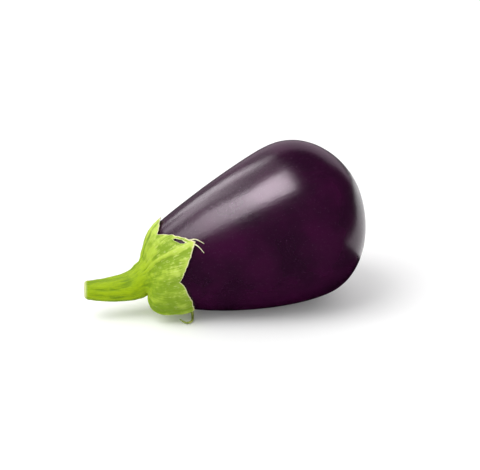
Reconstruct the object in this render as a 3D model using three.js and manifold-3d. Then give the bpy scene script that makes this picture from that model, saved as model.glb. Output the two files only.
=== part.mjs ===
// An eggplant lying on its side: a glossy teardrop fruit, the five-lobed green calyx that caps its neck,
// and the cut stem. Millimetres, +Z up, at rest on z = 0. +X runs from the stem to the blossom end.
// In the fruit's own frame its axis is X from the neck pole, and a turn about it runs from the top to -Y.

import * as THREE from "three";
import { mergeVertices } from "three/addons/utils/BufferGeometryUtils.js";
import Module from "manifold-3d";

// Fruit
const FRUIT_LENGTH = 137; // neck pole to blossom pole
const BULB_RADIUS = 48.5; // at the widest section
const BLOSSOM_DEPTH = 41.5; // widest section to blossom pole
const NECK_RADIUS = 27; // at the shoulder, under the calyx
const NECK_DEPTH = 13.5; // neck pole to the shoulder
const SHOULDER_SLOPE = 1.75; // the neck's flare at the shoulder, against that of a straight cone
const BOW_SIDE = -3.8; // how far the middle of the fruit bows towards -Y
const BOW_DOWN = -5; // and how far it sags across its axis
const FLUTES = 5; // shallow grooves from the calyx towards the bulb
const FLUTE_DEPTH = 0.5;
const FLAT_DEPTH = 0.6; // how much the bulb flattens where it lies

// Calyx: a crown that rises into the stem, and lobes pressed against the skin
// Turns in degrees, reaches along the skin from the neck pole, and a taper under 1 for a blunt lobe.
const LOBES = [
  { notch: 12, notchReach: 28, tip: 48, reach: 45.5, taper: 1.12 },
  { notch: 88, notchReach: 29, tip: 136, reach: 33.5, taper: 0.45 },
  { notch: 160, notchReach: 31, tip: 188, reach: 41, taper: 0.8 },
  { notch: 236, notchReach: 29, tip: 272, reach: 43, taper: 1.1 },
  { notch: 304, notchReach: 30, tip: 348, reach: 36, taper: 0.9 },
];
const CROWN_REACH = 21; // where the crown gives way to the lobes
const CROWN_THICKNESS = 1.3;
const EDGE_THICKNESS = 0.9;
const TIP_LIFT = 1; // how far a lobe's tip stands off the skin
const SWELL = 8.6; // the fleshy swelling of the crown on its underside
const SWELL_TURN = 136;
const SWELL_WIDTH = 58; // degrees to each side
const COLLAR_HEIGHT = 7; // neck pole to the top of the crown, where the stem starts
const COLLAR_DROP = 4; // how far the collar sits below the fruit's axis
const COLLAR_RADIUS = 10;

// Dried strands at two of the tips: distance along the skin, turn in degrees, and height over the skin
const STRANDS = [
  [[41.5, 43, 0.8], [44.9, 44.4, 2], [47.1, 46, 2.6], [49, 49.6, 2.4], [50.3, 53.3, 1.6]],
  [[43, 47.5, 0.9], [45.1, 49.5, 1.8], [46.9, 55.6, 2.2], [47.8, 61.8, 1.6]],
  [
    [32, 155, 0.8], [34.5, 164, 1.5], [32.7, 157.7, 3.6],
    [31.8, 152, 5.6], [29.8, 151, 6.5], [28.2, 151.6, 7.2],
  ],
];
const STRAND_RADIUS = 0.45;

// Stem
const STEM_REACH = 39.5; // neck pole to the cut end, along the fruit's axis
const STEM_SIDE = 4; // how far the cut end bends towards +Y
const STEM_RISE = 0.6; // and how far it bends up, across the fruit's axis
const STEM_STRAIGHT = 0.45; // the share of the stem that leads straight out before the bend
const CUT_RADIUS = 5.4;
const STEM_TAPER = 1.6; // how much the stem thickens towards the calyx
const STEM_BELLY = 0.9; // how much thicker it is halfway
const STEM_SAG = 1; // and how far its middle hangs below its line
const STEM_FLARE = 7; // how soon the collar's flare dies away along it
const CUT_ROUNDING = 0.8;

const GAP = 0.3; // between pieces that touch

const { clamp, degToRad, euclideanModulo, lerp, radToDeg } = THREE.MathUtils;
const wasm = await Module();
wasm.setup();

// Booleans: a geometry as a solid, and a solid as a geometry.
function solidOf(geometry) {
  const bare = geometry.clone();
  for (const name of Object.keys(bare.attributes)) {
    if (name !== "position") bare.deleteAttribute(name);
  }
  const merged = mergeVertices(bare, 1e-4);
  return new wasm.Manifold(new wasm.Mesh({
    numProp: 3,
    vertProperties: merged.attributes.position.array,
    triVerts: new Uint32Array(merged.index.array),
  }));
}
function geometryOf(solid) {
  const mesh = solid.getMesh();
  const geometry = new THREE.BufferGeometry();
  geometry.setAttribute("position", new THREE.BufferAttribute(mesh.vertProperties, 3));
  geometry.setIndex(new THREE.BufferAttribute(mesh.triVerts, 1));
  geometry.computeVertexNormals();
  return geometry;
}

// The skin's outline from the neck pole to the blossom pole: x along the axis, y the radius.
function skinOutline() {
  const neckToBulb = FRUIT_LENGTH - BLOSSOM_DEPTH - NECK_DEPTH;
  const slope = (SHOULDER_SLOPE * (BULB_RADIUS - NECK_RADIUS)) / neckToBulb;
  const bulbAt = FRUIT_LENGTH - BLOSSOM_DEPTH;
  // How long the handles of the Beziers are, as shares of the part of the outline that they bend.
  const neckRound = 0.48;
  const shoulderHold = 0.3;
  const bulbHold = 0.22;
  const bulbFull = 0.7;
  const blossomBlunt = 0.3;
  const path = new THREE.Path();
  path.moveTo(0, 0);
  path.bezierCurveTo(
    0, NECK_RADIUS * neckRound,
    NECK_DEPTH * (1 - neckRound), NECK_RADIUS - slope * NECK_DEPTH * neckRound,
    NECK_DEPTH, NECK_RADIUS,
  );
  path.bezierCurveTo(
    NECK_DEPTH + shoulderHold * neckToBulb, NECK_RADIUS + shoulderHold * slope * neckToBulb,
    bulbAt - bulbHold * neckToBulb, BULB_RADIUS,
    bulbAt, BULB_RADIUS,
  );
  path.bezierCurveTo(
    bulbAt + bulbFull * BLOSSOM_DEPTH, BULB_RADIUS,
    FRUIT_LENGTH, blossomBlunt * BULB_RADIUS,
    FRUIT_LENGTH, 0,
  );
  return path;
}
const outline = skinOutline();
const skinLength = outline.getLength();

// The point at a distance from the neck pole along the skin, a turn about the axis, and a lift off the skin.
function onSkin(distance, turn, lift = 0) {
  const share = clamp(distance / skinLength, 0, 1);
  const at = outline.getPointAt(share);
  const along = outline.getTangentAt(share);
  const bow = 4 * share * (1 - share);
  const flute = FLUTE_DEPTH * Math.cos(FLUTES * turn) * Math.sin(Math.PI * Math.min(1, 1.6 * share)) ** 2;
  const radius = at.y + along.x * lift + flute;
  return new THREE.Vector3(
    at.x - along.y * lift,
    -radius * Math.sin(turn) + BOW_SIDE * bow,
    radius * Math.cos(turn) + BOW_DOWN * bow,
  );
}

// A closed body lofted through rings, from a point to a point. Each ring is a function of the turn.
function lofted(rings, around) {
  const last = rings.length - 1;
  const profile = rings.map((_, i) => new THREE.Vector2(i === 0 || i === last ? 0 : 1, i));
  const geometry = new THREE.LatheGeometry(profile, around);
  const points = geometry.attributes.position;
  for (let i = 0; i < points.count; i++) {
    const ring = rings[Math.round(points.getY(i))];
    const p = ring(Math.atan2(points.getX(i), points.getZ(i)));
    points.setXYZ(i, p.x, p.y, p.z);
  }
  return geometry;
}

function fruitShape() {
  const steps = 34;
  const rings = [];
  for (let i = 0; i <= steps; i++) rings.push((turn) => onSkin((skinLength * i) / steps, turn));
  return lofted(rings, 64);
}

// How far the calyx reaches along the skin at a turn, and how near that is to a lobe's tip, from 0 to 1.
function lobeAt(turn) {
  const degrees = euclideanModulo(radToDeg(turn) - LOBES[0].notch, 360) + LOBES[0].notch;
  const index = LOBES.findLastIndex((lobe) => degrees > lobe.notch - 1e-6);
  const lobe = LOBES[index];
  const next = LOBES[index + 1] ?? { ...LOBES[0], notch: LOBES[0].notch + 360 };
  const rising = degrees < lobe.tip;
  const from = rising ? lobe : next;
  const nearness = clamp((degrees - from.notch) / (lobe.tip - from.notch), 0, 1) ** lobe.taper;
  return { reach: lerp(from.notchReach, lobe.reach, nearness), nearness };
}

// How much of the crown's swelling there is at a turn, from 0 to 1.
function swellAt(turn) {
  const away = euclideanModulo(radToDeg(turn) - SWELL_TURN + 180, 360) - 180;
  return Math.cos((clamp(away / SWELL_WIDTH, -1, 1) * Math.PI) / 2) ** 2;
}

// A point on the calyx. Progress runs from 0 at the crown's edge to 1 at the lobes' edge.
function onLobe(progress, turn, outer) {
  const { reach, nearness } = lobeAt(turn);
  const thickness = lerp(CROWN_THICKNESS, EDGE_THICKNESS, progress) + SWELL * swellAt(turn) * (1 - progress);
  const lift = GAP + TIP_LIFT * nearness ** 2 * progress ** 2 + (outer ? thickness : 0);
  return onSkin(lerp(CROWN_REACH, reach, progress), turn, lift);
}

// The crown's outer face, from 0 at its collar to 1 where the lobes start. A swelling bends it more sharply.
function onCrown(progress, turn) {
  const collar = new THREE.Vector3(
    -COLLAR_HEIGHT,
    -COLLAR_RADIUS * Math.sin(turn),
    COLLAR_RADIUS * Math.cos(turn) - COLLAR_DROP,
  );
  const edge = onLobe(0, turn, true);
  const slope = onLobe(0.1, turn, true).sub(edge).normalize();
  const span = edge.distanceTo(collar);
  const sharp = swellAt(turn);
  const collarHold = lerp(0.3, 0.1, sharp);
  const edgeHold = lerp(0.5, 0.7, sharp);
  const fromCollar = collar.clone().add(new THREE.Vector3(collarHold * span, 0, 0));
  const toEdge = edge.clone().addScaledVector(slope, -edgeHold * span);
  return new THREE.CubicBezierCurve3(collar, fromCollar, toEdge, edge).getPoint(progress);
}

// A dried strand: a thin round tube through points given by distance, turn in degrees and lift off the skin.
function strandShape(points) {
  const line = new THREE.CatmullRomCurve3(points.map(([at, turn, lift]) => onSkin(at, degToRad(turn), lift)));
  const section = new THREE.Shape().absarc(0, 0, STRAND_RADIUS, 0, 2 * Math.PI);
  return new THREE.ExtrudeGeometry(section, { curveSegments: 4, steps: 14, extrudePath: line });
}

function calyxShape() {
  const crownRings = 7;
  const lobeRings = 6;
  const hollowRings = 6;
  const rings = [() => new THREE.Vector3(-COLLAR_HEIGHT, 0, -COLLAR_DROP)];
  for (let i = 0; i < crownRings; i++) rings.push((turn) => onCrown(i / crownRings, turn));
  for (let i = 0; i <= lobeRings; i++) rings.push((turn) => onLobe(i / lobeRings, turn, true));
  for (let i = lobeRings; i > 0; i--) rings.push((turn) => onLobe(i / lobeRings, turn, false));
  for (let i = hollowRings; i >= 0; i--) {
    rings.push((turn) => onSkin((CROWN_REACH * i) / hollowRings, turn, GAP));
  }
  let calyx = solidOf(lofted(rings, 90));
  for (const points of STRANDS) calyx = calyx.add(solidOf(strandShape(points)));
  return geometryOf(calyx);
}

// The stem's line from the collar to its cut end.
const stemStart = new THREE.Vector3(-(COLLAR_HEIGHT + GAP), 0, -COLLAR_DROP);
const stemEnd = new THREE.Vector3(-STEM_REACH, STEM_SIDE, STEM_RISE);
const stemBend = new THREE.Vector3(lerp(stemStart.x, stemEnd.x, STEM_STRAIGHT), 0, -COLLAR_DROP);
const stemLine = new THREE.QuadraticBezierCurve3(stemStart, stemBend, stemEnd);
const stemLength = stemLine.getLength();

// A point at a share of the stem's line, sagged, and off it by a radius at a turn.
function byStem(share, turn, radius) {
  const along = stemLine.getTangentAt(share);
  const side = new THREE.Vector3(0, 0, 1).cross(along).normalize();
  const up = along.clone().cross(side).normalize();
  const offset = side.multiplyScalar(radius * Math.sin(turn)).addScaledVector(up, radius * Math.cos(turn));
  const sag = new THREE.Vector3(0, 0, -STEM_SAG * Math.sin(Math.PI * share));
  return stemLine.getPointAt(share).add(sag).add(offset);
}

function stemRadius(share) {
  const flare = COLLAR_RADIUS - CUT_RADIUS - STEM_TAPER;
  const belly = STEM_BELLY * Math.sin(Math.PI * share);
  return CUT_RADIUS + STEM_TAPER * (1 - share) + belly + flare * Math.exp(-STEM_FLARE * share);
}

function stemShape() {
  const rings = 16;
  const cut = 1 - CUT_ROUNDING / stemLength;
  const rows = [() => byStem(1, 0, 0), (turn) => byStem(1, turn, CUT_RADIUS - CUT_ROUNDING)];
  for (let i = 0; i <= rings; i++) {
    const share = cut * (1 - i / rings);
    rows.push((turn) => byStem(share, turn, stemRadius(share)));
  }
  rows.push(() => byStem(0, 0, 0));
  return lofted(rows, 28);
}

// How high the lowest point of a geometry is once the fruit's axis is tipped up from the neck.
function lowest(geometry, tilt) {
  const tipped = geometry.clone().rotateY(-tilt);
  tipped.computeBoundingBox();
  return tipped.boundingBox.min.z;
}

// The tilt at which the bulb, sunk by its flat, and the calyx touch the same plane.
function restingTilt(fruit, calyx) {
  let low = 0;
  let high = Math.PI / 4;
  for (let i = 0; i < 40; i++) {
    const tilt = (low + high) / 2;
    if (lowest(fruit, tilt) + FLAT_DEPTH < lowest(calyx, tilt)) low = tilt;
    else high = tilt;
  }
  return (low + high) / 2;
}

const roundFruit = fruitShape();
const calyx = calyxShape();
const eggplant = new THREE.Group();
eggplant.rotation.y = -restingTilt(roundFruit, calyx);
eggplant.position.z = -(lowest(roundFruit, -eggplant.rotation.y) + FLAT_DEPTH);
eggplant.updateMatrixWorld();

// The flat that the bulb rests on: what would lie under z = 0 is cut away.
const under = new THREE.BoxGeometry(2 * FRUIT_LENGTH, 4 * BULB_RADIUS, BULB_RADIUS);
under.translate(FRUIT_LENGTH / 2, 0, -BULB_RADIUS / 2);
under.applyMatrix4(eggplant.matrixWorld.clone().invert());
const fruit = geometryOf(solidOf(roundFruit).subtract(solidOf(under)));

const pieces = [
  { name: "fruit", shape: fruit, color: "#2a1030", roughness: 0.3 },
  { name: "calyx", shape: calyx, color: "#8db52c", roughness: 0.55 },
  { name: "stem", shape: stemShape(), color: "#93b024", roughness: 0.55 },
];
for (const { name, shape, color, roughness } of pieces) {
  const mesh = new THREE.Mesh(shape, new THREE.MeshStandardMaterial({ color, roughness, metalness: 0 }));
  mesh.name = name;
  eggplant.add(mesh);
}

// The origin is the bottom centre of the whole eggplant's box.
const box = new THREE.Box3().setFromObject(eggplant, true);
const middle = box.getCenter(new THREE.Vector3());
eggplant.position.x -= middle.x;
eggplant.position.y -= middle.y;
export default eggplant;
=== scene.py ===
import bisect
import math
from collections import namedtuple

import bmesh
import bpy
from mathutils import Matrix, Vector, noise
from mathutils.geometry import interpolate_bezier


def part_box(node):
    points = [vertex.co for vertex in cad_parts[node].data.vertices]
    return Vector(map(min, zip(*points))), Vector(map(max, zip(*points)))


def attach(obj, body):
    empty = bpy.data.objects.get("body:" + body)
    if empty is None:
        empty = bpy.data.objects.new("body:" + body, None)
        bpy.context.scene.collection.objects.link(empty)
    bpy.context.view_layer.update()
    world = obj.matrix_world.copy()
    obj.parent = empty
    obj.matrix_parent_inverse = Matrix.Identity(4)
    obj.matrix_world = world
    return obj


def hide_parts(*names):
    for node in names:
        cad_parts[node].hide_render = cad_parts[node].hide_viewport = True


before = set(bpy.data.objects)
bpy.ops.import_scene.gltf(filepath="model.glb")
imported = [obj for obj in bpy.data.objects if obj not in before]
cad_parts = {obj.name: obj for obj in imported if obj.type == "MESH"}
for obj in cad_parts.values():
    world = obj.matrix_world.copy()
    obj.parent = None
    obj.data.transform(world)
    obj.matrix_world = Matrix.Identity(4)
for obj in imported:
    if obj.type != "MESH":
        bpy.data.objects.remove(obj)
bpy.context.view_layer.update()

# --- The fruit ---
# A ripe eggplant's body: spongy flesh under a thin waxy skin, purple-black and very glossy. It lies
# on a small flat that its weight presses into the bulb. At the far end is the corky scar that the
# flower left.
fruit_length = 0.137
bulb_radius = 0.0485
neck_radius = 0.027
neck_depth = 0.0135
bulb_at = fruit_length - 0.0415
neck_to_bulb = bulb_at - neck_depth
shoulder_steepness = 1.75
shoulder_slope = shoulder_steepness * (bulb_radius - neck_radius) / neck_to_bulb
neck_round = 0.48
neck_hold = 0.52
shoulder_hold = 0.3
bulb_hold = 0.22
bulb_full = 0.7
blossom_blunt = 0.3
bow = Vector((0, -0.0038, -0.005))
flutes = 5
flute_depth = 0.0005
flute_growth = 1.6
flat_depth = 0.0006
flat_softness = 0.0002
tilt = math.radians(16.11)

# Half the fruit's outline, from the neck pole to the blossom end: three curves, each with its two
# handles.
outline_steps = 200
shoulder_reach = shoulder_hold * neck_to_bulb
outline = [Vector((0, 0))]
for start, leave, arrive, end in (
    (
        (0, 0),
        (0, neck_round * neck_radius),
        (neck_hold * neck_depth, neck_radius - (1 - neck_hold) * shoulder_slope * neck_depth),
        (neck_depth, neck_radius),
    ),
    (
        (neck_depth, neck_radius),
        (neck_depth + shoulder_reach, neck_radius + shoulder_slope * shoulder_reach),
        (bulb_at - bulb_hold * neck_to_bulb, bulb_radius),
        (bulb_at, bulb_radius),
    ),
    (
        (bulb_at, bulb_radius),
        (bulb_at + bulb_full * (fruit_length - bulb_at), bulb_radius),
        (fruit_length, blossom_blunt * bulb_radius),
        (fruit_length, 0),
    ),
):
    handles = Vector(start), Vector(leave), Vector(arrive), Vector(end)
    outline += interpolate_bezier(*handles, outline_steps)[1:]
travel = [0.0]
for before, after in zip(outline, outline[1:]):
    travel.append(travel[-1] + (after - before).length)
skin_length = travel[-1]


def outline_at(distance):
    """The outline's point (along the axis, radius) at a distance along it, and its direction."""
    at = min(max(distance, 0), skin_length)
    i = min(max(bisect.bisect_right(travel, at), 1), len(outline) - 1)
    share = (at - travel[i - 1]) / (travel[i] - travel[i - 1])
    before = outline[i] - outline[i - 1]
    after = outline[min(i + 1, len(outline) - 1)] - outline[min(i, len(outline) - 2)]
    return outline[i - 1].lerp(outline[i], share), before.lerp(after, share).normalized()


def on_skin(distance, turn, lift=0.0):
    """The point at a distance along the skin from the neck pole, a turn, and a lift off it."""
    point, along = outline_at(distance)
    share = min(max(distance / skin_length, 0), 1)
    fluted = math.sin(math.pi * min(1, flute_growth * share)) ** 2
    flute = flute_depth * math.cos(flutes * turn) * fluted
    radius = point.y + along.x * lift + flute
    return Vector(
        (point.x - along.y * lift, -radius * math.sin(turn), radius * math.cos(turn))
    ) + bow * (4 * share * (1 - share))


def relief(point, size, depth, seed=0.0):
    """A soft random unevenness of about that size and depth."""
    return depth * noise.noise(point / size + Vector((seed, 2 * seed, 3 * seed)))


def spun(profile, steps):
    """A closed body spun about X from a profile of points (along X, radius) with its ends on X."""
    body = bmesh.new()
    points = [body.verts.new((x, 0, radius)) for x, radius in profile]
    edges = [body.edges.new(pair) for pair in zip(points, points[1:])]
    bmesh.ops.spin(
        body,
        geom=points + edges,
        axis=(1, 0, 0),
        cent=(0, 0, 0),
        angle=2 * math.pi,
        steps=steps,
        use_merge=True,
    )
    bmesh.ops.remove_doubles(body, verts=body.verts, dist=1e-6)
    return body


def linked(name, data):
    """A new object in the scene that shows a mesh, curve, light or camera."""
    made = bpy.data.objects.new(name, data)
    bpy.context.collection.objects.link(made)
    return made


def meshed(name, body, material):
    """A new object from a bmesh, which is used up."""
    mesh = bpy.data.meshes.new(name)
    body.to_mesh(mesh)
    body.free()
    mesh.materials.append(material)
    return linked(name, mesh)


def piece(name, body, material, nodes=()):
    """A named, smooth piece of the object from a bmesh, on the root body, for those nodes."""
    bmesh.ops.recalc_face_normals(body, faces=body.faces)
    for face in body.faces:
        face.smooth = True
    made = meshed(name, body, material)
    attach(made, "root")
    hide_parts(*nodes)
    return made


class Wire:
    """A value in a material. Arithmetic adds Math nodes, and node() adds one of any other type."""

    def __init__(self, tree, socket=None):
        self.tree = tree
        self.socket = socket

    def node(self, kind, inputs=(), settings=(), output=0):
        made = self.tree.nodes.new("ShaderNode" + kind)
        for name, value in dict(settings).items():
            setattr(made, name, value)
        for name, value in dict(inputs).items():
            if isinstance(value, Wire):
                self.tree.links.new(value.socket, made.inputs[name])
            else:
                made.inputs[name].default_value = value
        return Wire(self.tree, made.outputs[output]) if made.outputs else made

    def math(self, operation, *values):
        return self.node("Math", enumerate(values), {"operation": operation})

    def __add__(self, other):
        return self.math("ADD", self, other)

    def __radd__(self, other):
        return self.math("ADD", other, self)

    def __sub__(self, other):
        return self.math("SUBTRACT", self, other)

    def __rsub__(self, other):
        return self.math("SUBTRACT", other, self)

    def __mul__(self, other):
        return self.math("MULTIPLY", self, other)

    def __rmul__(self, other):
        return self.math("MULTIPLY", other, self)

    def step(self, low, high):
        """0 below low, 1 above high, and smooth between."""
        return self.node(
            "MapRange",
            {"Value": self, "From Min": low, "From Max": high},
            {"interpolation_type": "SMOOTHSTEP"},
        )

    def mix(self, color, other):
        """From color at 0 to other at 1."""
        return self.node("Mix", {0: self, 6: color, 7: other}, {"data_type": "RGBA"}, output=2)

    def scaled(self, scale):
        """A vector, each part times its own scale."""
        return self.node("VectorMath", {0: self, 1: scale}, {"operation": "MULTIPLY"})

    def noise(self, scale, detail=2.0, roughness=0.5):
        inputs = {"Vector": self, "Scale": scale, "Detail": detail, "Roughness": roughness}
        return self.node("TexNoise", inputs)

    def attribute(self, name, output="Fac"):
        return self.node("Attribute", settings={"attribute_name": name}, output=output)

    def bump(self, distance, strength=1.0):
        return self.node("Bump", {"Height": self, "Distance": distance, "Strength": strength})


def material(name):
    """A new empty material's node tree as a wire to build on, and the material."""
    made = bpy.data.materials.new(name)
    made.use_nodes = True
    made.node_tree.nodes.clear()
    return made, Wire(made.node_tree)


def finished(start, inputs):
    """Ends a material in a Principled shader with these inputs."""
    start.node("OutputMaterial", {"Surface": start.node("BsdfPrincipled", inputs)})


skin, start = material("eggplant_skin")
place = start.node("TexCoord", output="Object")
grain = start.attribute("grain", output="Vector")
scar = start.attribute("scar")
mottle = place.noise(38.0, detail=3.0)
fibre = grain.scaled((60.0, 900.0, 900.0)).noise(1.0, detail=3.0, roughness=0.65)
bloom = grain.scaled((160.0, 420.0, 420.0)).noise(1.0, detail=2.0)
speck = place.noise(1500.0, detail=1.0).step(0.66, 0.76)
purple_black = (0.019, 0.0022, 0.015, 1)
purple_red = (0.034, 0.0020, 0.024, 1)
speck_mauve = (0.10, 0.05, 0.10, 1)
cork_brown = (0.16, 0.10, 0.055, 1)
cork_tan = (0.30, 0.22, 0.13, 1)
purple = mottle.step(0.35, 0.7).mix(purple_black, purple_red)
purple = (speck * 0.35).mix(purple, speck_mauve)
cork = place.noise(900.0, detail=3.0).step(0.35, 0.65).mix(cork_brown, cork_tan)
finished(
    start,
    {
        "Base Color": scar.mix(purple, cork),
        "Roughness": 0.14 + 0.16 * fibre + 0.45 * scar,
        "IOR": 1.48,
        "Specular Tint": (1.0, 0.87, 0.97, 1),
        "Normal": (fibre * 0.6 + bloom * 0.4 + speck * 0.12).bump(0.00008),
    },
)

# The body is spun with X as the distance along the skin, and each point is then set on the skin.
skin_rows = 170
distances = [skin_length * i / skin_rows for i in range(skin_rows + 1)]
body = spun([(distance, outline_at(distance)[0].y) for distance in distances], steps=200)
grain_layer = body.verts.layers.float_vector.new("grain")
scar_layer = body.verts.layers.float.new("scar")
scar_radius = 0.0032
dimple_radius, dimple_depth = 0.006, 0.0011
button_radius, button_height = 0.0022, 0.0009
for vert in body.verts:
    distance = vert.co.x
    turn = math.atan2(-vert.co.y, vert.co.z)
    left = skin_length - distance
    around_axis = Vector((math.cos(turn), math.sin(turn)))
    vert[grain_layer] = (distance, *outline_at(distance)[0].y * around_axis)
    vert[scar_layer] = min(max(1.5 - left / scar_radius, 0), 1)
    dimple = -dimple_depth * math.exp(-((left / dimple_radius) ** 2))
    button = button_height * math.exp(-((left / button_radius) ** 2))
    rough = relief(vert.co, 0.0012, 0.0004) * vert[scar_layer] if left < 2 * scar_radius else 0
    smooth = on_skin(distance, turn)
    uneven = relief(smooth, 0.03, 0.00025) + relief(smooth, 0.011, 0.00005)
    vert.co = on_skin(distance, turn, dimple + button + rough + uneven)
body.transform(Matrix.Rotation(-tilt, 4, "Y"))
cad_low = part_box("fruit")[0]
corner = [min(vert.co[axis] for vert in body.verts) for axis in range(3)]
placed = Matrix.Translation(
    (cad_low.x - corner[0], cad_low.y - corner[1], cad_low.z - flat_depth - corner[2])
)
body.transform(placed)
own_to_row = placed @ Matrix.Rotation(-tilt, 4, "Y")
for vert in body.verts:
    vert.co.z = (vert.co.z + math.hypot(vert.co.z, flat_softness)) / 2
piece("fruit_skin", body, skin, ["fruit"])

# --- The calyx and the stem ---
# The leathery green cap that held the flower, and the stem that it grew on. They are one growth:
# the stem widens into the crown, and the crown parts into five lobes that hug the skin and end in
# thin, pale, dried margins.
green, start = material("calyx_and_stem")
place = start.node("TexCoord", output="Object")
grain = start.attribute("grain", output="Vector")
edge = start.attribute("edge")
stem = start.attribute("stem")
height = start.attribute("height")
belly = start.attribute("belly")
cut = start.attribute("cut")
fibre = grain.scaled((70.0, 520.0, 520.0)).noise(1.0, detail=4.0, roughness=0.6)
fine = grain.scaled((260.0, 2100.0, 2100.0)).noise(1.0, detail=3.0, roughness=0.6)
leather = place.noise(430.0, detail=4.0, roughness=0.65)
patch = place.noise(95.0, detail=3.0)
lobe_light, stem_light = (0.50, 0.64, 0.105, 1), (0.33, 0.47, 0.001, 1)
lobe_deep, stem_deep = (0.25, 0.38, 0.025, 1), (0.16, 0.28, 0.001, 1)
# Painted shade for the swollen lobe's underside, where shade falls.
belly_painted_shade = (0.15, 0.25, 0.004, 1)
fleck_pale = (0.66, 0.70, 0.28, 1)
margin_straw = (0.76, 0.74, 0.42, 1)
cut_rim, cut_ring = (0.62, 0.66, 0.30, 1), (0.36, 0.28, 0.10, 1)
pith_green, pith_white = (0.50, 0.56, 0.22, 1), (0.72, 0.73, 0.42, 1)
uneven = 1.2 * (fibre - 0.5) + 1.7 * (fine - 0.5) + 0.9 * (leather - 0.5) + 0.5 * (patch - 0.5)
# The tone: random unevenness, plus painted highlight on raised veins and puckers and painted shade
# in the creases, from the relief's height, minus painted shade on the swollen lobe's underside
# (belly).
tone = 0.61 + uneven * (1 - 0.3 * stem) + 0.85 * height - 0.55 * belly
flecks = (fine + leather).step(1.06, 1.26) * 0.5 * (1 - stem)
pith = place.noise(700.0, detail=3.0).step(0.3, 0.7).mix(pith_green, pith_white)
leaf = tone.step(0.0, 1.0).mix(stem.mix(lobe_deep, stem_deep), stem.mix(lobe_light, stem_light))
leaf = flecks.mix(leaf, fleck_pale)
leaf = (edge * (0.6 + leather)).step(0.35, 0.75).mix(leaf, margin_straw)
leaf = cut.step(0.1, 0.5).mix(leaf, cut_rim)
leaf = cut.step(0.55, 0.7).mix(leaf, cut_ring)
leaf = cut.step(0.75, 0.9).mix(leaf, pith)
finished(
    start,
    {
        # Painted shade: the swollen lobe's underside is mixed towards a darker green.
        "Base Color": (0.3 * belly).mix(leaf, belly_painted_shade),
        "Roughness": 0.45 + 0.25 * leather + 0.2 * edge,
        "IOR": 1.36,
        "Specular IOR Level": 0.3,
        "Subsurface Weight": 0.08,
        "Subsurface Scale": 0.003,
        "Subsurface Radius": (0.6, 1.0, 0.2),
        "Normal": (fibre * 0.5 + fine * 0.35 + leather * 0.6).bump(0.0006, 0.9),
    },
)

# Turns here are in degrees, and a reach is a distance from the neck pole along the skin.
gap = 0.0003
crown_reach = 0.021
crown_thickness = 0.0013
edge_thickness = 0.0005
tip_lift = 0.001
swell = 0.0094
swell_turn = 136
swell_front = 92
swell_back = 58
collar = Vector((-0.007, 0, -0.004))
collar_radius = 0.010
collar_hold, collar_hold_swollen = 0.3, 0.1
edge_hold, edge_hold_swollen = 0.5, 0.7
margin_wave = 0.0006
margin_curl = 0.0003
# Each lobe: the notch before it, its tip, and a taper, which is under 1 for a blunt lobe.
Lobe = namedtuple("Lobe", "notch notch_reach tip reach taper")
lobes = (
    Lobe(12, 0.028, 48, 0.0465, 1.12),
    Lobe(88, 0.0282, 136, 0.0335, 0.45),
    Lobe(160, 0.031, 188, 0.041, 0.8),
    Lobe(236, 0.029, 272, 0.043, 1.1),
    Lobe(304, 0.030, 348, 0.036, 0.9),
)


def mixed(low, high, share):
    """Between low at 0 and high at 1."""
    return low + (high - low) * share


def lobe_at(turn):
    """The calyx's reach at a turn, and how near that turn is to a lobe's tip, from 0 to 1."""
    first = lobes[0]
    degrees = (math.degrees(turn) - first.notch) % 360 + first.notch
    index = max(i for i, lobe in enumerate(lobes) if degrees >= lobe.notch - 1e-6)
    lobe = lobes[index]
    notch, notch_reach = lobe.notch, lobe.notch_reach
    if degrees > lobe.tip:
        following = lobes[(index + 1) % len(lobes)]
        notch = following.notch + (360 if following is first else 0)
        notch_reach = following.notch_reach
    near = min(max((degrees - notch) / (lobe.tip - notch), 0), 1) ** lobe.taper
    return mixed(notch_reach, lobe.reach, near), near


def swell_at(turn):
    """How much of the crown's swelling there is at a turn, from 0 to 1."""
    away = (math.degrees(turn) - swell_turn + 180) % 360 - 180
    away /= swell_front if away < 0 else swell_back
    return math.cos(min(max(away, -1), 1) * math.pi / 2) ** 2


def on_lobe(progress, turn, outer):
    """A point on the calyx, from 0 at the crown's edge to 1 at the lobes' margin."""
    reach, near = lobe_at(turn)
    around = Vector((math.cos(turn), math.sin(turn), 0))
    reach += relief(around, 0.13, margin_wave) + relief(around, 0.05, margin_wave)
    thickness = mixed(crown_thickness, edge_thickness, progress)
    thickness += swell * swell_at(turn) * (1 - progress)
    curl = margin_curl + relief(around, 0.16, 0.0005, 5) + relief(around, 0.06, 0.0003, 9)
    lift = gap + tip_lift * near**2 * progress**2 + max(curl, 0) * progress**4
    return on_skin(mixed(crown_reach, reach, progress), turn, lift + (thickness if outer else 0))


def on_crown(progress, turn):
    """A point on the crown's outer face, from 0 at its collar to 1 where the lobes start."""
    start = collar + collar_radius * Vector((0, -math.sin(turn), math.cos(turn)))
    end = on_lobe(0, turn, True)
    slope = (on_lobe(0.1, turn, True) - end).normalized()
    span = (end - start).length
    sharp = swell_at(turn) ** 2
    leave = start + Vector((mixed(collar_hold, collar_hold_swollen, sharp) * span, 0, 0))
    arrive = end - slope * mixed(edge_hold, edge_hold_swollen, sharp) * span
    a, b, c = start.lerp(leave, progress), leave.lerp(arrive, progress), arrive.lerp(end, progress)
    return a.lerp(b, progress).lerp(b.lerp(c, progress), progress)


cut_radius = 0.0054
stem_taper = 0.0016
stem_belly = 0.0016
stem_sag = 0.0016
belly_lean = 0.6
stem_flare = 7
stem_straight = 0.45
stem_end = Vector((-0.0402, 0.004, 0.0020))
stem_bend = Vector((mixed(collar.x, stem_end.x, stem_straight), 0, collar.z))
stem_length = (stem_end - collar).length


def fullness(share):
    """How much of its belly and sag the stem has: 0 at both ends, 1 a little nearer the collar."""
    return math.sin(math.pi * share**belly_lean)


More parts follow.
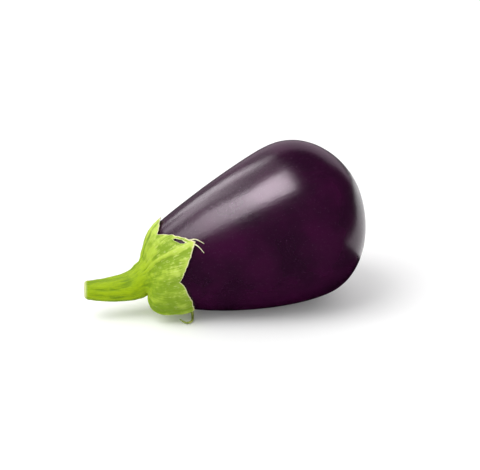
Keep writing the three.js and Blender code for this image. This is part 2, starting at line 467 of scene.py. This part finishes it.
def by_stem(share, turn, radius):
    """A point at a share of the stem's line from collar to cut, off it by a radius at a turn."""
    a, b = collar.lerp(stem_bend, share), stem_bend.lerp(stem_end, share)
    along = (b - a).normalized()
    side = Vector((0, 0, 1)).cross(along).normalized()
    up = along.cross(side)
    sag = Vector((0, 0, -stem_sag * fullness(share)))
    return a.lerp(b, share) + sag + radius * (side * math.sin(turn) + up * math.cos(turn))


def stem_radius(share):
    """The stem's radius at a share of its line, with the collar's flare."""
    flare = collar_radius - cut_radius - stem_taper
    belly = stem_belly * fullness(share)
    return cut_radius + stem_taper * (1 - share) + belly + flare * math.exp(-stem_flare * share)


# The surface is a stack of rings, from the cut's middle along the stem and the crown to the margin,
# then back under to the neck. Each row has its point at a turn, and how much it is cut face, stem,
# dried edge and outer face.
Row = namedtuple("Row", "point cut stem edge outer", defaults=(0, 0, 0, 0))
cut_rounding = 0.0016
face_radius = cut_radius - cut_rounding
face_rings = ((0, 0.0007, 1), (0.4, 0.0007, 1), (0.75, 0.0004, 0.95), (0.92, 0.0001, 0.66))
rounding_rows = 6
cut_rim_rows = 4
stem_rows = 48
crown_rows = 34
lobe_rows = 30
under_rows = 14
dried_rows_under = 2
hollow_rows = 6
dried_from, dried_over = 0.94, 0.05
rows = []
for share, sink, cut_share in face_rings:
    point = lambda turn, r=share * face_radius, back=sink / stem_length: by_stem(1 - back, turn, r)
    rows.append(Row(point, cut=cut_share, stem=1))
for i in range(rounding_rows):
    bend = math.pi / 2 * i / rounding_rows
    radius = face_radius + cut_rounding * math.sin(bend)
    back = cut_rounding * (1 - math.cos(bend)) / stem_length
    point = lambda turn, r=radius, back=back: by_stem(1 - back, turn, r)
    rows.append(Row(point, cut=0.5 if i < cut_rim_rows else 0.25, stem=1))
for i in range(stem_rows):
    share = (1 - cut_rounding / stem_length) * (1 - i / stem_rows)
    point = lambda turn, share=share: by_stem(share, turn, stem_radius(share))
    rows.append(Row(point, stem=1, outer=1))
for i in range(crown_rows):
    progress = i / crown_rows
    point = lambda turn, progress=progress: on_crown(progress, turn)
    rows.append(Row(point, stem=1 - 0.4 * progress, outer=1))
for i in range(lobe_rows + 1):
    progress = i / lobe_rows
    point = lambda turn, progress=progress: on_lobe(progress, turn, True)
    dried = min(max((progress - dried_from) / dried_over, 0), 1)
    rows.append(Row(point, stem=0.6 * (1 - progress), edge=dried, outer=1 - 0.6 * progress**4))
for i in range(under_rows + 1):
    point = lambda turn, progress=1 - i / under_rows: on_lobe(progress, turn, False)
    rows.append(Row(point, edge=1 if i < dried_rows_under else 0))
for i in reversed(range(hollow_rows)):
    point = lambda turn, distance=crown_reach * i / hollow_rows: on_skin(distance, turn, gap)
    rows.append(Row(point))
collar_row = len(face_rings) + rounding_rows + stem_rows
lobe_row = collar_row + crown_rows

# The body is spun with X as the row's number, and each point is then set by its row and turn.
last = len(rows) - 1
body = spun([(i, 0 if i in (0, last) else 1) for i in range(last + 1)], steps=300)
grain_layer = body.verts.layers.float_vector.new("grain")
edge_layer = body.verts.layers.float.new("edge")
stem_layer = body.verts.layers.float.new("stem")
cut_layer = body.verts.layers.float.new("cut")
height_layer = body.verts.layers.float.new("height")
belly_layer = body.verts.layers.float.new("belly")
where = {}
for vert in body.verts:
    row = round(vert.co.x)
    turn = math.atan2(-vert.co.y, vert.co.z)
    where[vert] = row, turn
    vert.co = rows[row].point(turn)
    vert[edge_layer] = rows[row].edge
    vert[stem_layer] = rows[row].stem
    vert[cut_layer] = rows[row].cut


def relaxed(verts, passes):
    """Smooths those points of the body that many times."""
    for i in range(passes):
        bmesh.ops.smooth_vert(
            body, verts=verts, factor=0.5, use_axis_x=True, use_axis_y=True, use_axis_z=True
        )


# The stem's joint with the crown is softened all round, and then the swollen lobe's upper crease.
relaxed([vert for vert, (row, turn) in where.items() if abs(row - collar_row) < 9], passes=12)
bmesh.ops.recalc_face_normals(body, faces=body.faces)
crease = [
    vert
    for vert, (row, turn) in where.items()
    if collar_row - 4 < row < lobe_row + 14 and 50 < math.degrees(turn) < 122
]
relaxed(crease, passes=90)
body.normal_update()

# A slit in the longest lobe, just inside its margin, where the margin's strip has dried and parted.
slit_step = 24
slit_row = lobe_row + slit_step
inner_row = lobe_row + lobe_rows + round(under_rows * (1 - slit_step / lobe_rows))
slit_start, slit_end = 32.5, 44.8
slit_opening = 0.0009


def in_slit(face, row):
    """Whether a face lies in the slit, between that row and the next."""
    corners = [where[vert] for vert in face.verts]
    turns = [math.degrees(turn) for corner, turn in corners]
    found = {corner for corner, turn in corners}
    return found == {row, row + 1} and slit_start < min(turns) and max(turns) < slit_end


for vert, (row, turn) in where.items():
    share = (math.degrees(turn) - slit_start) / (slit_end - slit_start)
    if not 0 < share < 1:
        continue
    opened = slit_opening * math.sin(math.pi * share) ** 0.7
    if slit_row - 1 < row <= slit_row + 2:
        vert[edge_layer] = 0.7
    outwards = (on_lobe(1, turn, True) - on_lobe(0.8, turn, True)).normalized()
    if slit_row - 3 < row <= slit_row or inner_row < row <= inner_row + 1:
        vert.co -= outwards * opened
    elif slit_row < row < slit_row + 3 or row == inner_row:
        vert.co += outwards * opened * 0.6
outer_faces = [face for face in body.faces if in_slit(face, slit_row)]
inner_faces = [face for face in body.faces if in_slit(face, inner_row)]
rims = []
for faces in (outer_faces, inner_faces):
    edges = dict.fromkeys(edge for face in faces for edge in face.edges)
    rims += [edge for edge in edges if sum(face in faces for face in edge.link_faces) == 1]
bmesh.ops.delete(body, geom=outer_faces + inner_faces, context="FACES")
bmesh.ops.bridge_loops(body, edges=rims)

vein_height, vein_width = 0.0004, 2.2
crease_depth, crease_width, crease_away = 0.0003, 3, 7


def veins(vert, row, turn):
    """The relief: long fibres, a raised vein down each lobe, creases beside it, soft puckers."""
    spot = Vector((math.cos(turn), math.sin(turn), 0))
    along = Vector((0, 0, vert.co.x / 0.1))
    fibres = relief(spot + 2 * along, 0.30, 0.00034, 1) + relief(spot + 3 * along, 0.11, 0.00018, 2)
    puckers = relief(vert.co, 0.006, 0.00030, 3) + relief(vert.co, 0.0022, 0.00012, 4)
    vein = 0
    for lobe in lobes:
        away = abs((math.degrees(turn) - lobe.tip + 180) % 360 - 180)
        vein += vein_height * math.exp(-((away / vein_width) ** 2))
        vein -= crease_depth * math.exp(-(((away - crease_away) / crease_width) ** 2))
    on_cap = min(max((row - collar_row) / 12, 0), 1)
    return fibres * mixed(1, 1.3, on_cap) + puckers * mixed(0.4, 1.2, on_cap) + vein * on_cap


full_height = 0.0005
grain_radius = 0.02
for vert, (row, turn) in where.items():
    lifted = veins(vert, row, turn)
    # The relief's height is kept for the material, which paints highlight on the raised parts and
    # shade in the creases with it.
    vert[height_layer] = min(max(lifted / full_height, -1), 1)
    # The belly mask: where the material paints shade on the swollen lobe's underside.
    vert[belly_layer] = swell_at(turn) * min(max((row - collar_row) / crown_rows, 0), 1)
    vert[grain_layer] = (vert.co.x, grain_radius * math.cos(turn), grain_radius * math.sin(turn))
    vert.co += vert.normal * lifted * rows[row].outer
body.transform(own_to_row)


def kept_off_floor(body):
    """Presses flat whatever would sink into the floor."""
    for vert in body.verts:
        vert.co.z = max(vert.co.z, 0.0001)


kept_off_floor(body)
piece("calyx_and_stem", body, green, ["calyx", "stem"])

# --- The strands ---
# Hair-thin ends of the calyx's lobes, which grow out of its margin. Two have dried to straw and
# curl up from the longest lobe's tip, and a thicker one is still green and hooks out onto the floor
# from under the swollen lobe.
strand_colors = {
    "strand_straw": ((0.62, 0.58, 0.30, 1), (0.80, 0.78, 0.55, 1)),
    "strand_green": ((0.20, 0.27, 0.03, 1), (0.46, 0.50, 0.12, 1)),
}
strand_finishes = {}
for name, (dull, bright) in strand_colors.items():
    strand_finishes[name], start = material(name)
    mottle = start.node("TexCoord", output="Object").noise(600.0, detail=3.0)
    finished(start, {"Base Color": mottle.step(0.3, 0.7).mix(dull, bright), "Roughness": 0.6})

strand_radius = 0.00045
root_share, tip_share = 1.1, 0.35
# Each strand: its finish, its thickness, and its points as distance along the skin, turn in degrees
# and height.
strands = {
    "strand_upper": (
        "strand_straw",
        1.0,
        (
            (0.0415, 43, 0.0008),
            (0.0449, 44.4, 0.002),
            (0.0471, 46, 0.0026),
            (0.049, 49.6, 0.0024),
            (0.0503, 53.3, 0.0016),
        ),
    ),
    "strand_lower": (
        "strand_straw",
        1.0,
        (
            (0.0415, 47.0, 0.0009),
            (0.0451, 49.0, 0.0018),
            (0.0472, 55.2, 0.0022),
            (0.0481, 61.4, 0.0016),
        ),
    ),
    "strand_hooked": (
        "strand_green",
        2.2,
        (
            (0.0300, 149, 0.0008),
            (0.0328, 153, 0.0012),
            (0.0334, 156, 0.0036),
            (0.0328, 146.5, 0.0076),
            (0.0304, 142.5, 0.0097),
            (0.0288, 146.0, 0.0088),
            (0.0278, 151, 0.0078),
        ),
    ),
}
for name, (finish, thickness, points) in strands.items():
    curve = bpy.data.curves.new(name, "CURVE")
    curve.dimensions = "3D"
    curve.bevel_depth = strand_radius
    curve.bevel_resolution = 3
    curve.resolution_u = 10
    curve.use_fill_caps = True
    line = curve.splines.new("NURBS")
    line.points.add(len(points) - 1)
    line.order_u = 3
    line.use_endpoint_u = True
    for i, (distance, turn, lift) in enumerate(points):
        spot = own_to_row @ on_skin(distance, math.radians(turn), lift)
        line.points[i].co = (*spot, 1)
        line.points[i].radius = thickness * mixed(root_share, tip_share, i / (len(points) - 1))
    shaped = linked(name, curve)
    body = bmesh.new()
    body.from_mesh(shaped.to_mesh())
    bpy.data.objects.remove(shaped)
    bmesh.ops.remove_doubles(body, verts=body.verts, dist=1e-6)
    kept_off_floor(body)
    piece(name, body, strand_finishes[finish])

# --- The floor, the light and the camera ---
# A plain white floor in a white room. The skin mirrors neither, but only what is set up for it:
# softboxes overhead and behind, the lit floor at the far right and behind, and dim mauve screens
# behind.
white, start = material("floor_white")
finished(
    start,
    {
        "Base Color": (0.9, 0.9, 0.9, 1),
        "Roughness": 0.7,
        "Emission Color": (1, 1, 1, 1),
        "Emission Strength": 0.1,
    },
)
body = bmesh.new()
bmesh.ops.create_circle(body, cap_ends=True, segments=96, radius=12)
bmesh.ops.translate(body, verts=body.verts, vec=(0, 0, -0.0001))
floor = meshed("floor", body, white)
floor.visible_glossy = False

world = bpy.data.worlds.new("white_room")
bpy.context.scene.world = world
world.use_nodes = True
background = world.node_tree.nodes["Background"]
background.inputs["Color"].default_value = (1, 1, 1, 1)
background.inputs["Strength"].default_value = 0.82
world.cycles_visibility.glossy = False


def panel(name, middle, width, height, radiance, facing, turned=0):
    """A rectangle of light that faces along a direction and that only glossy things show."""
    lamp = bpy.data.lights.new(name, "AREA")
    lamp.shape = "RECTANGLE"
    lamp.size = width
    lamp.size_y = height
    lamp.energy = radiance * width * height * math.pi
    made = linked(name, lamp)
    made.location = middle
    upright = (-Vector(facing)).to_track_quat("Z", "Y").to_matrix()
    made.rotation_euler = (upright @ Matrix.Rotation(math.radians(turned), 3, "Z")).to_euler()
    made.visible_camera = False
    made.visible_diffuse = False
    return made


up, down, forwards = (0, 0, 1), (0, 0, -1), (0, -1, 0)
for name, middle, width, height, radiance in (
    ("overhead", (-0.99, -0.34, 2.5), 1.02, 1.52, 14.0),
    ("overhead_side", (-1.95, -0.25, 2.5), 0.95, 1.3, 5.3),
    ("overhead_back", (-1.72, 1.87, 2.5), 1.15, 1.25, 4.8),
    ("overhead_dim", (-1.3, 1.5, 2.5), 1.8, 2.2, 1.0),
):
    panel(name, middle, width, height, radiance, down)
azimuth, elevation = math.radians(108), math.radians(36)
away = Vector(
    (
        math.cos(azimuth) * math.cos(elevation),
        math.sin(azimuth) * math.cos(elevation),
        math.sin(elevation),
    )
)
panel("behind", 2.5 * away, 0.75, 0.75, 5.0, -away)
for name, x, width, radiance in (
    ("behind_left", -0.45, 1.1, 0.34),
    ("behind_right", 1.15, 2.1, 0.62),
):
    screen = panel(name, (x, 1.5, 0.75), width, 1.4, radiance, forwards)
    screen.data.color = (1.0, 0.80, 0.95)
panel("lit_floor_right", (0.88, 0.50, 0.0005), 1.8, 0.36, 1.2, up, turned=-31)
panel("lit_floor_behind", (0.0, 0.95, 0.0005), 1.6, 1.4, 0.12, up)
# The one light that brightens the calyx and the floor: glossy things don't show it.
key = panel("soft_key", (-1.7, -0.5, 2.4), 2.2, 2.2, 3.7, (1.7, 0.5, -2.4))
key.visible_diffuse = True
key.visible_glossy = False

lens = bpy.data.cameras.new("camera")
lens.lens = 112.5
lens.sensor_width = 36
lens.clip_start = 0.05
camera = linked("camera", lens)
camera.location = (-0.2653, -0.7953, 0.3675)
aim = Vector((0.0083, -0.0008, 0.045))
camera.rotation_euler = (aim - camera.location).to_track_quat("-Z", "Y").to_euler()
bpy.context.scene.camera = camera
bpy.context.scene.view_settings.view_transform = "Standard"
